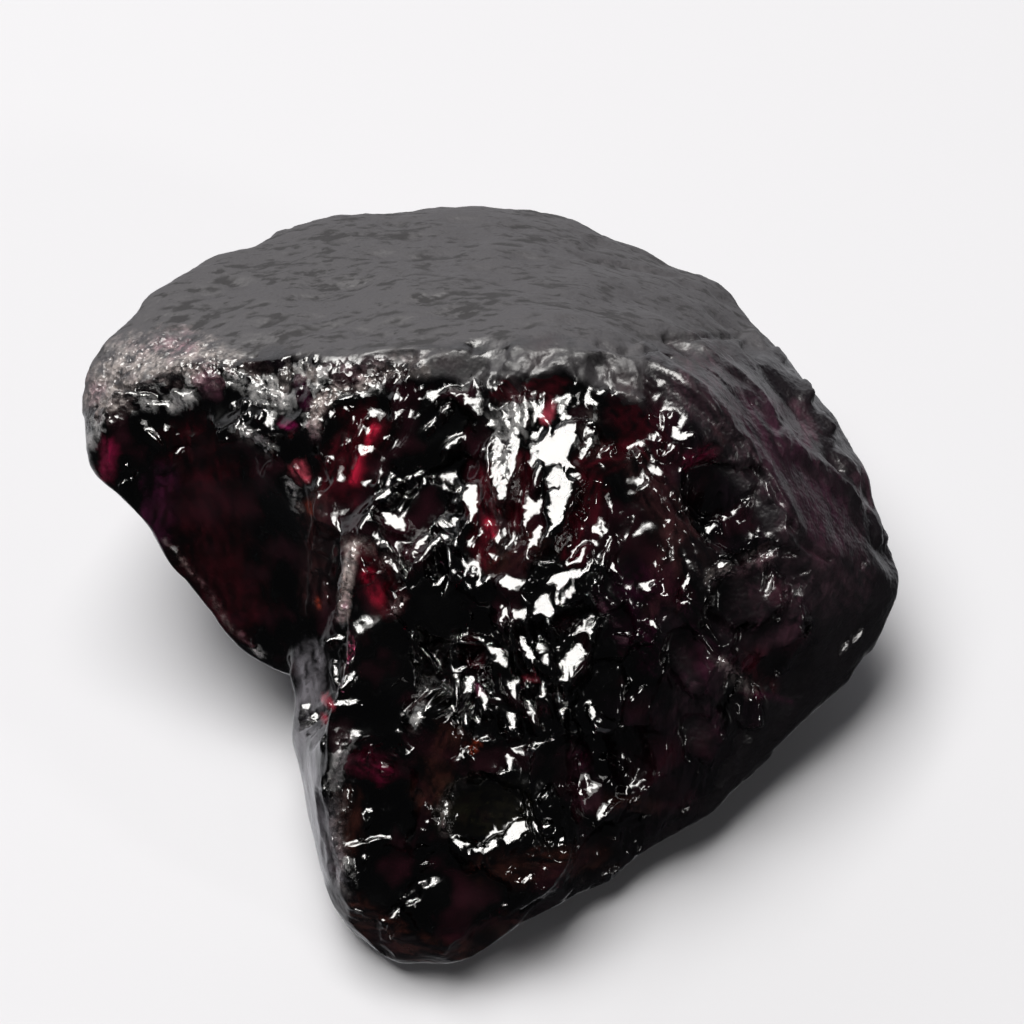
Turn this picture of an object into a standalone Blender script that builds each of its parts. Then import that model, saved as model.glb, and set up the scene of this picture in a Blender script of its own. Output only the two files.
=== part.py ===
"""Rough painite: one broken, waterworn lump of dark red crystal, lying on its flat back.

The lump is described as it looks when held up to show its glassy broken face. A place on it is
(across, up, out) in millimetres: across runs to the right, and out points at whoever looks at it.
The lump then leans back onto its base, and ends in metres with +Z up and its origin under the
middle of its box.
"""

import math
import random

import bmesh
import bpy
import numpy as np
from mathutils import Matrix, Vector, noise
from mathutils.bvhtree import BVHTree

# Driving dimensions, in millimetres.
LEAN = math.radians(55)  # from upright to lying on its back
BASE_DROP = 8.0  # the flat base is this far below the lump's middle, once it leans
SCULPT_GRID = 0.28  # spacing of the points while the relief is carved
BLOCK_WEAR = 6  # rounds of smoothing that wear the block's edges round
BITE_WEAR = 3  # the same, for the rims of the broad bites
RIDGE_WEAR = 1  # and for the ridges between the small ones
SWELL_SIZE = 3.1  # across one low swell of the surface
SWELL_HEIGHT = 0.3
TRIANGLES = 10400  # of the whole lump, before its base is cut flat
METRES = 0.001

# The main block. Its skin is a flat, worn crystal face on top, and its front is broken and bulges.
BODY = {
    "skin front edge": [
        (-8.3, 8.6, 5.4),
        (-5.3, 8.5, 6.4),
        (-0.9, 8.8, 7.6),
        (3.5, 9.1, 8.0),
        (7.7, 7.5, 7.4),
    ],
    "skin back edge": [
        (-7.9, 14.7, -5.2),
        (-4.2, 15.4, -6.6),
        (-0.5, 15.8, -7.4),
        (3.4, 15.1, -7.6),
        (6.4, 13.9, -7.2),
        (9.0, 12.7, -6.4),
    ],
    "right shoulder": [
        (11.4, 10.3, -5.0),
        (12.9, 8.2, -3.6),
        (13.9, 6.1, -2.8),
        (15.5, 4.2, -2.4),
        (11.2, 5.8, 3.6),
        (13.4, 0.8, 3.0),
    ],
    "right end": [(16.2, 2.6, -2.4), (16.9, 0.0, -2.4), (16.3, -2.1, -2.4), (14.6, -4.2, -2.0)],
    "lower right rim": [
        (12.6, -6.1, -1.4),
        (10.6, -7.9, -0.8),
        (9.2, -9.4, -0.4),
        (5.9, -10.7, 0.2),
        (3.9, -12.4, 0.6),
    ],
    "front bulge": [(2.6, 5.6, 9.2), (0.6, -1.6, 9.8), (7.2, 0.6, 8.4), (-5.8, 1.0, 7.0), (4.4, -6.2, 7.0)],
    "back wall": [(-8.0, 9.0, -12.0), (0.0, 12.0, -13.0), (8.0, 9.6, -12.0)],
    "base rim": [
        (-6.0, 7.4, -16.8),
        (3.4, 7.6, -17.0),
        (9.4, 3.6, -14.2),
        (11.6, -1.0, -10.8),
        (8.0, -7.0, -6.7),
        (1.0, -12.0, -3.2),
        (-5.0, -9.0, -5.3),
        (-7.4, 0.0, -11.4),
    ],
}
# The horn: the left lobe under the skin, whose lower side is one big smooth scoop.
HORN = {
    "tip": [(-16.4, 6.6, 0.8), (-16.3, 5.4, 0.8), (-16.1, 8.2, 0.6), (-15.4, 9.9, 0.2), (-13.9, 11.8, -1.4)],
    "skin": [(-11.2, 13.4, -3.2), (-7.9, 14.7, -5.2), (-14.5, 8.1, 2.6), (-11.1, 8.4, 4.4), (-6.1, 8.5, 6.2)],
    "ledge": [(-14.5, 5.8, 3.0), (-10.4, 5.7, 4.8), (-6.3, 5.9, 6.4)],
    "lower rim": [
        (-16.1, 4.1, 0.2),
        (-14.9, 2.6, -0.2),
        (-13.5, 1.7, -0.6),
        (-12.3, 0.5, -1.0),
        (-11.3, -1.1, -1.4),
    ],
    "root": [
        (-10.2, -3.0, -1.6),
        (-8.2, -4.2, -1.8),
        (-6.0, -3.6, -3.0),
        (-2.0, -2.0, 2.0),
        (-2.0, 4.0, 5.0),
    ],
    "back": [
        (-13.4, 7.6, -6.2),
        (-10.6, 9.8, -10.8),
        (-8.6, 5.8, -13.4),
        (-9.2, 1.6, -10.4),
        (-2.0, -1.0, -9.0),
    ],
}
# The foot: the narrow lower lobe, with a flat side that faces left.
FOOT = {
    "flat side": [
        (-8.5, -3.9, 0.4),
        (-8.2, -4.9, 0.2),
        (-7.7, -7.3, 0.4),
        (-7.2, -9.1, 0.6),
        (-6.8, -10.6, 0.8),
    ],
    "left ridge": [
        (-6.3, 3.6, 6.0),
        (-6.1, -1.0, 7.0),
        (-6.2, -5.0, 6.8),
        (-6.2, -9.0, 6.0),
        (-6.1, -11.4, 5.0),
    ],
    "tip": [
        (-6.5, -12.8, 1.2),
        (-5.7, -14.0, 1.4),
        (-3.7, -15.3, 1.4),
        (-1.0, -15.1, 1.4),
        (1.1, -13.8, 1.0),
    ],
    "front": [(-5.0, -13.2, 4.6), (-1.6, -14.2, 4.6), (3.2, -11.4, 4.8), (2.0, -4.0, 8.0)],
    "root": [(3.7, -12.4, 0.6), (-4.0, -8.0, -4.4), (4.0, -6.0, -2.0), (-5.0, -1.0, -5.0)],
}

# Each feature below is a place, then its length, width, depth or height, and direction. The direction
# is in degrees, seen from the front, with 0 to the right and 90 up. First, shell-shaped bites in front:
BROAD_BITES = [
    ((-10.6, 1.6), 10.0, 8.4, 1.15, -58),  # the smooth scoop under the horn's ledge
    ((-13.6, 3.6), 4.0, 3.0, 0.4, -40),
    ((-4.2, -3.0), 4.8, 3.8, 0.7, 80),  # dark windows, nearly flat
    ((-2.6, 4.0), 5.6, 4.2, 0.8, 62),
    ((10.0, -0.6), 4.4, 2.6, 0.7, 10),
    ((4.6, -3.4), 6.4, 2.8, 0.7, -62),
    ((7.4, -4.8), 6.4, 2.6, 0.6, -60),
    ((10.2, -4.2), 5.0, 2.6, 0.6, -55),
    ((3.0, -7.8), 4.6, 3.2, 0.7, 20),
    ((-4.4, -8.6), 5.0, 2.8, 0.5, 84),
    ((-3.0, -12.0), 4.4, 3.2, 0.4, 30),
    ((-13.0, 6.4), 3.4, 1.4, 0.35, 4),
]
# Deep pits with clean rims: one on the right over a lip, one round and low on the foot.
PITS = [((9.0, 3.0), 4.6, 3.4, 1.2, -30), ((-0.3, -9.2), 3.0, 2.8, 1.0, 10)]
PIT_RIM = 0.6
# Bites on the hidden sides. The place is a bearing and a height in degrees: see Carver.seen_from.
HIDDEN_BITES = [
    ((150, 15), 9.0, 7.0, 1.2, 20),
    ((195, 5), 8.0, 6.0, 1.1, -30),
    ((232, 20), 6.0, 5.0, 0.8, 60),
    ((118, -10), 6.0, 4.4, 0.8, 40),
    ((96, 8), 5.0, 3.0, 0.6, -50),
    ((268, 7), 5.0, 3.0, 0.5, -40),  # the nick under the horn's tip
    ((238, -12), 6.0, 4.4, 0.7, 15),  # under the horn
    ((172, -12), 7.0, 4.4, 0.8, -60),
]
# Rounded ribs that stand between the bites.
RIBS = [
    ((2.8, 4.6), 5.4, 1.9, 0.75, 66),
    ((0.4, 4.6), 5.8, 1.5, 0.55, 72),
    ((-2.2, 1.6), 5.0, 1.2, 0.5, 55),
    ((2.8, -1.6), 4.4, 1.3, 0.5, 68),
    ((6.2, 3.6), 4.6, 1.4, 0.5, -58),
    ((5.8, -1.8), 5.4, 1.2, 0.4, -60),
    ((11.4, 3.0), 7.0, 1.6, 0.4, -56),
    ((8.8, 9.0), 8.0, 2.2, 0.35, -38),
    ((14.4, 4.3), 3.0, 1.8, 0.5, -55),  # knobs on the right outline
    ((15.2, 2.1), 2.4, 1.5, 0.45, -62),
]

# Where the worn skin ends and the glassy break begins, as (across, up).
SKIN_EDGE = [
    (-17, 5.4),
    (-14, 6.6),
    (-9, 7.9),
    (-2, 8.4),
    (3.4, 8.9),
    (8, 6.8),
    (11, 2.6),
    (13, -2.6),
    (17, -9),
]
SKIN_OUT = 1.0  # the flanks and the back, which stand out less than this, are skin too
SKIN_FADE = (1.2, 1.6)  # how far the break takes to become skin, upwards and backwards
# The small bites: how many, and the ranges their places and sizes are drawn from.
SMALL_BITES = 150
BREAK_ACROSS, BREAK_UP = (-15, 14), (-14, 9)
BITE_WIDTH = (1.0, 2.0)
BITE_STRETCH = (1.4, 3.0)  # length for a width of 1
BITE_SINK = (0.16, 0.28)  # depth for a width of 1
FAN_HEAD = (4.4, 12.0)  # they fan out from here, down the break
FAN_SPREAD = 20
SMOOTH_SIDE = (-6.6, 4.6)  # none lies both left of and below this place
# The same for the pits in the skin.
SKIN_PITS = 60
SKIN_ACROSS, SKIN_UP = (-15, 12), (6, 15)
PIT_WIDTH = (0.5, 1.1)
PIT_STRETCH = (1.2, 2.6)
PIT_SINK = 0.2
PIT_SPREAD = 15
EYE = 60  # a look at the lump starts this far from its middle


def lump_point(across, up, out):
    return Vector((across, -out, up))


def clear_scene():
    for obj in list(bpy.data.objects):
        bpy.data.objects.remove(obj)


def hull_block(name, corner_groups):
    """A convex chunk with a corner at each of the named places."""
    bm = bmesh.new()
    for corners in corner_groups.values():
        for corner in corners:
            bm.verts.new(lump_point(*corner))
    hull = bmesh.ops.convex_hull(bm, input=bm.verts)
    unused = [v for v in hull["geom_interior"] if isinstance(v, bmesh.types.BMVert)]
    bmesh.ops.delete(bm, geom=unused, context="VERTS")
    bmesh.ops.recalc_face_normals(bm, faces=bm.faces)
    mesh = bpy.data.meshes.new(name)
    bm.to_mesh(mesh)
    bm.free()
    block = bpy.data.objects.new(name, mesh)
    bpy.context.scene.collection.objects.link(block)
    return block


def apply_modifiers(obj):
    graph = bpy.context.evaluated_depsgraph_get()
    mesh = bpy.data.meshes.new_from_object(obj.evaluated_get(graph))
    obj.modifiers.clear()
    obj.data = mesh


def add_sculpt_grid(obj):
    """The same surface with its points evenly spaced, so that a stretched wall can be carved again."""
    grid = obj.modifiers.new("sculpt grid", "REMESH")
    grid.mode = "VOXEL"
    grid.voxel_size = SCULPT_GRID


def add_wear(obj, rounds):
    """Takes off edges and ridges, the way a river does."""
    wear = obj.modifiers.new("wear", "SMOOTH")
    wear.factor = 0.5
    wear.iterations = rounds


def rough_block():
    """The three chunks grown together, with their edges worn round."""
    stone = hull_block("rough_painite", BODY)
    chunks = [hull_block("horn", HORN), hull_block("foot", FOOT)]
    for chunk in chunks:
        join = stone.modifiers.new(chunk.name, "BOOLEAN")
        join.operation = "UNION"
        join.object = chunk
    add_sculpt_grid(stone)
    add_wear(stone, BLOCK_WEAR)
    apply_modifiers(stone)
    for chunk in chunks:
        bpy.data.objects.remove(chunk)
    return stone


def feature_axes(normal, direction):
    """Unit rows along a feature, across it and out of the stone."""
    turn = math.radians(direction)
    aim = lump_point(math.cos(turn), math.sin(turn), 0)
    along = (aim - normal * aim.dot(normal)).normalized()
    return np.array([along, normal.cross(along), normal])


class Carver:
    """Moves the stone's points. Every feature is placed on the stone as it was before the first one."""

    def __init__(self, stone):
        self.mesh = stone.data
        points = np.empty(len(self.mesh.vertices) * 3, np.float32)
        self.mesh.vertices.foreach_get("co", points)
        self.points = points.reshape(-1, 3).astype(float)
        faces = [polygon.vertices[:] for polygon in self.mesh.polygons]
        self.block = BVHTree.FromPolygons(self.points.tolist(), faces)

    def finish(self):
        self.mesh.vertices.foreach_set("co", self.points.astype(np.float32).ravel())
        self.mesh.update()

    def seen_from_front(self, across, up):
        """The point and normal met by looking straight at this place, or None twice beside the stone."""
        return self.block.ray_cast(lump_point(across, up, EYE), lump_point(0, 0, -1))[:2]

    def seen_from(self, bearing, height):
        """The point and normal met by looking at the middle. Bearing 0 is the front, 90 the right."""
        turn, rise = math.radians(bearing), math.radians(height)
        level = math.cos(rise)
        aim = lump_point(math.sin(turn) * level, math.sin(rise), math.cos(turn) * level)
        return self.block.ray_cast(aim * EYE, -aim)[:2]

    def reshape(self, place, normal, length, width, direction, new_height):
        """Moves the points round a place along its normal, to new_height(distance, old height).
        The distance is from the place, and is shrunk lengthways so that the feature counts as round."""
        axes = feature_axes(normal, direction)
        local = (self.points - np.array(place)) @ axes.T
        distance = np.hypot(local[:, 0] * width / length, local[:, 1])
        near = (distance < 0.75 * width) & (np.abs(local[:, 2]) < width)
        height = local[near, 2]
        moved = new_height(distance[near], height)
        self.points[near] += (moved - height)[:, None] * axes[2]

    def bite(self, place, normal, length, width, depth, direction):
        """Cuts away what lies inside a ball, stretched lengthways, that sinks to this depth."""
        radius = (width**2 / 4 + depth**2) / (2 * depth)

        def cut(distance, height):
            floor = radius - depth - np.sqrt(np.maximum(radius**2 - distance**2, 0))
            return np.where(distance < radius, np.minimum(height, floor), height)

        self.reshape(place, normal, length, width, direction, cut)

    def rib(self, place, normal, length, width, rise, direction):
        """Raises a rounded rib, highest in its middle."""

        def swell(distance, height):
            return height + rise * (1 - np.clip(2 * distance / width, 0, 1) ** 2) ** 2

        self.reshape(place, normal, length, width, direction, swell)

    def swells(self):
        """Low swells all over, pushed out from the middle."""
        for point in self.points:
            height = SWELL_HEIGHT * noise.fractal(Vector(point) / SWELL_SIZE, 1.0, 2.0, 3)
            point *= 1 + height / np.linalg.norm(point)


def skin_share(point):
    """1 on the worn skin, the flanks and the back, 0 on the glassy break."""
    edge = np.interp(point.x, *zip(*SKIN_EDGE))
    above = (point.z - edge) / SKIN_FADE[0]
    behind = (SKIN_OUT + point.y) / SKIN_FADE[1]
    return min(max(above, behind, 0), 1)


def stays_smooth(place):
    """Whether this is in the scoop, on the foot's flat side or by a pit."""
    by_pit = any(math.dist((place.x, place.z), pit) < length / 2 + PIT_RIM for pit, length, *_ in PITS)
    return by_pit or (place.x < SMOOTH_SIDE[0] and place.z < SMOOTH_SIDE[1])


def carve_broad_relief(stone):
    carver = Carver(stone)
    carver.swells()
    for place, *shape in BROAD_BITES + PITS:
        carver.bite(*carver.seen_from_front(*place), *shape)
    for place, *shape in HIDDEN_BITES:
        carver.bite(*carver.seen_from(*place), *shape)
    carver.finish()
    add_sculpt_grid(stone)
    add_wear(stone, BITE_WEAR)
    apply_modifiers(stone)


def carve_small_bites(carver, rng):
    """Scallops with sharp ridges between them, fanning down the glassy break."""
    made = 0
    while made < SMALL_BITES:
        across, up = rng.uniform(*BREAK_ACROSS), rng.uniform(*BREAK_UP)
        place, normal = carver.seen_from_front(across, up)
        if place is None or skin_share(place) > 0.3 or stays_smooth(place):
            continue
        fan = math.degrees(math.atan2(up - FAN_HEAD[1], across - FAN_HEAD[0]))
        width = rng.uniform(*BITE_WIDTH)
        length = width * rng.uniform(*BITE_STRETCH)
        depth = width * rng.uniform(*BITE_SINK)
        carver.bite(place, normal, length, width, depth, fan + rng.gauss(0, FAN_SPREAD))
        made += 1


def carve_skin_pits(carver, rng):
    """Shallow pits, long from left to right, in the worn skin."""
    made = 0
    while made < SKIN_PITS:
        place, normal = carver.seen_from_front(rng.uniform(*SKIN_ACROSS), rng.uniform(*SKIN_UP))
        if place is None or skin_share(place) < 0.9:
            continue
        width = rng.uniform(*PIT_WIDTH)
        length = width * rng.uniform(*PIT_STRETCH)
        carver.bite(place, normal, length, width, width * PIT_SINK, rng.gauss(0, PIT_SPREAD))
        made += 1


def carve_fine_relief(stone):
    carver = Carver(stone)
    rng = random.Random(7)
    for place, *shape in RIBS:
        carver.rib(*carver.seen_from_front(*place), *shape)
    carve_small_bites(carver, rng)
    carve_skin_pits(carver, rng)
    carver.finish()


def thin_out(stone):
    """Wears the ridges, then leaves fewer, larger triangles, with the small ones along the ridges."""
    stone.data.calc_loop_triangles()
    add_wear(stone, RIDGE_WEAR)
    collapse = stone.modifiers.new("thin out", "DECIMATE")
    collapse.ratio = TRIANGLES / len(stone.data.loop_triangles)
    apply_modifiers(stone)


def lay_down(stone):
    """Leans the lump back, cuts its base flat, and brings it to metres over its origin."""
    bm = bmesh.new()
    bm.from_mesh(stone.data)
    bmesh.ops.transform(bm, matrix=Matrix.Rotation(-LEAN, 4, "X"), verts=bm.verts)
    everything = bm.verts[:] + bm.edges[:] + bm.faces[:]
    base = (0, 0, -BASE_DROP)
    cut = bmesh.ops.bisect_plane(bm, geom=everything, plane_co=base, plane_no=(0, 0, -1), clear_outer=True)
    rim = [edge for edge in cut["geom_cut"] if isinstance(edge, bmesh.types.BMEdge)]
    bmesh.ops.contextual_create(bm, geom=rim)
    bmesh.ops.triangulate(bm, faces=bm.faces)
    bmesh.ops.recalc_face_normals(bm, faces=bm.faces)
    corners = np.array([v.co for v in bm.verts])
    low, high = corners.min(0), corners.max(0)
    under_middle = Vector(((low[0] + high[0]) / 2, (low[1] + high[1]) / 2, low[2]))
    bmesh.ops.translate(bm, vec=-under_middle, verts=bm.verts)
    bmesh.ops.scale(bm, vec=(METRES, METRES, METRES), verts=bm.verts)
    bm.to_mesh(stone.data)
    bm.free()


def crystal_material():
    material = bpy.data.materials.new("painite crystal")
    material.use_nodes = True
    surface = material.node_tree.nodes["Principled BSDF"]
    surface.inputs["Base Color"].default_value = (0.02, 0.004, 0.008, 1)
    surface.inputs["Metallic"].default_value = 0.0
    surface.inputs["Roughness"].default_value = 0.15
    surface.inputs["IOR"].default_value = 1.8
    return material


def main():
    clear_scene()
    stone = rough_block()
    carve_broad_relief(stone)
    carve_fine_relief(stone)
    thin_out(stone)
    lay_down(stone)
    stone.data.materials.clear()
    stone.data.materials.append(crystal_material())


main()
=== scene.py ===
"""Rough painite: the finish of one broken, waterworn lump of dark red crystal, and a small studio for it.

A place on the lump is (across, up, out) in millimetres, as it looks from the camera: across runs to
the right, and out points at the camera. A place with two numbers is where the camera's line of sight
crosses the upright plane through the lump's middle. The lump leans back from there onto its flat base.
"""

import math
import random
from itertools import islice

import bmesh
import bpy
import numpy as np
from mathutils import Matrix, Vector
from mathutils.bvhtree import BVHTree


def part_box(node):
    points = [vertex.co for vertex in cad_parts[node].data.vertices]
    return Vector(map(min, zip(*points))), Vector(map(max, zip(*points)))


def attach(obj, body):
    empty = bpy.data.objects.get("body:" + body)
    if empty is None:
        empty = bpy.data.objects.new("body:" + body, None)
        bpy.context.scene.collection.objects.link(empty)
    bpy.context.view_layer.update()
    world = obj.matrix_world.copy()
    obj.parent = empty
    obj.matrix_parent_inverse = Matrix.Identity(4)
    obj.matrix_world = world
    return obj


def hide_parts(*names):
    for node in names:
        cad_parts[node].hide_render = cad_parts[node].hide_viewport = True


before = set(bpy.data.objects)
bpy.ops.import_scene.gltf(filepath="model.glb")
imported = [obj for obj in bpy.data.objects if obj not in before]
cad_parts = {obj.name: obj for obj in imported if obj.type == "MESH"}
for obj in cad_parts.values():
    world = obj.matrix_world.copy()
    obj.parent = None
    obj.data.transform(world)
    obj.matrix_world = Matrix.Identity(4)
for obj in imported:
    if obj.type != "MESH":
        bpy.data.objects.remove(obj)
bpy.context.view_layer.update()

bl_info = {
    "name": "Rough painite",
    "version": (1, 0, 0),
    "blender": (4, 5, 0),
    "location": "3D View > Sidebar > Painite",
    "description": "Finishes a rough painite crystal and lights it in a small studio",
    "category": "Object",
}

SOLID = "rough_painite"

METRES = 0.001  # metres in a millimetre
LEAN = math.radians(55)  # from upright to lying on its back
MIDDLE = Vector((0.188, 1.599, -8.0))  # where the solid's origin lies in the leaning lump
EYE = (0.88, 2.72, 150.0)  # the camera
LAMP_WAY = (-0.20, 0.12, 0.97)  # towards the main softbox, in the solid's frame
FRAME_WIDTH = 40.96  # of the upright plane, as much as the camera takes in

# The glassy break lies below this edge, as (across, up), and in front of the flanks.
SKIN_EDGE = [
    (-17, 6.2), (-15.6, 6.9), (-11.6, 8.3), (-8.4, 8.8), (-3.6, 8.7), (-0.8, 9.1), (3.2, 9.0),
    (6.4, 7.4), (8.4, 5.2), (10.5, 2.4), (12.4, -0.8), (14, -5.0), (17, -9),
]
SKIN_FADE = 0.5  # how far the break takes to turn into skin
# What stands out less than this is flank, as (across, out). The scoop's break runs round behind.
FLANK_EDGE = [(-17, -3.5), (-6.6, -3.5), (-5.4, 0.2), (8, 0.6), (13, 1.4), (17, 1.4)]
FLANK_FADE = 1.2  # how far the break takes to turn into flank
SCOOP_CORNER = (-6.6, 4.6)  # the scoop's smooth wall lies left of and below this, as (across, up)
# Painted shade: the worn skin's colour is darker below this edge, as (across, up).
PAINTED_SHADE_EDGE = [(-17, -16), (-7, -14), (-5, -12), (4, -11), (6, 9.0), (8.4, 8.8), (10.8, 9.4), (17, 9.2)]
PAINTED_SHADE_FADE = 1.5  # how far the pale skin takes to turn dark
DEEPEST_PAINTED_SHADE = 0.1  # how much skin colour the painted shade leaves, next to the pale skin's 1
FAN_HEAD = (4.4, 12.0)  # the small scallops fan out from here, down the break
LEFT, RIGHT, BOTTOM, TOP = -15, 15, -15, 9.5  # the small scallops and facets are scattered within these

LAYER = 1.5  # what lies this much farther back or out than a feature isn't part of it
RAGGED = 0.22  # how much a feature's rim wanders, as a share of its size
WINDOW_LEAN = 0.15  # how far the dark windows turn away from the softbox
WINDOW_SINK = 0.15  # how deep they lie
# How high the fine relief is.
BITE_RIPPLES = 0.006  # the rings in each small scallop
RIPPLES = 0.012  # on the glassy break
WAVES = 0.05  # on the larger facets
GRANULES = 0.1  # on the bruised rims
CRUMPLES = 0.08  # on the crushed ridges
WEAR = 0.035  # on the worn skin
PITS = 0.02  # in the worn skin
HIDDEN_PITS = 0.06  # how much deeper they are on the sides that the camera doesn't see
SWELLS = 0.3  # on those sides
ALMOST_DOWN = 0.05  # what hangs this little over the floor rests on it

# The material's patterns: how wide they are, and how high their bumps. Real grit and crushed crystal are
# about ten times finer, and these are as coarse as they need to be to show.
GRIT, GRIT_HEIGHT = 0.25, 0.05
GRAINS, GRAIN_HEIGHT = 0.22, 0.12
CRUMBS = 0.65
DASHES = 0.4
PATCHES = 2.2
PAINITE_IOR = 1.8
ABSORPTION = 3.6  # in a millimetre

LAMP_DISTANCE = 0.5  # of all the lights, in metres
FLOOR_SIZE = 1.5  # from the middle to an edge, in metres

# The tables below were chosen. Their widths and lengths count steps, and so do their places: right,
# then down, from the top left corner of what the camera takes in.
STEP = 0.04  # in millimetres
CORNER = (EYE[0] - FRAME_WIDTH / 2, EYE[1] + FRAME_WIDTH / 2)  # as (across, up)

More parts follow.
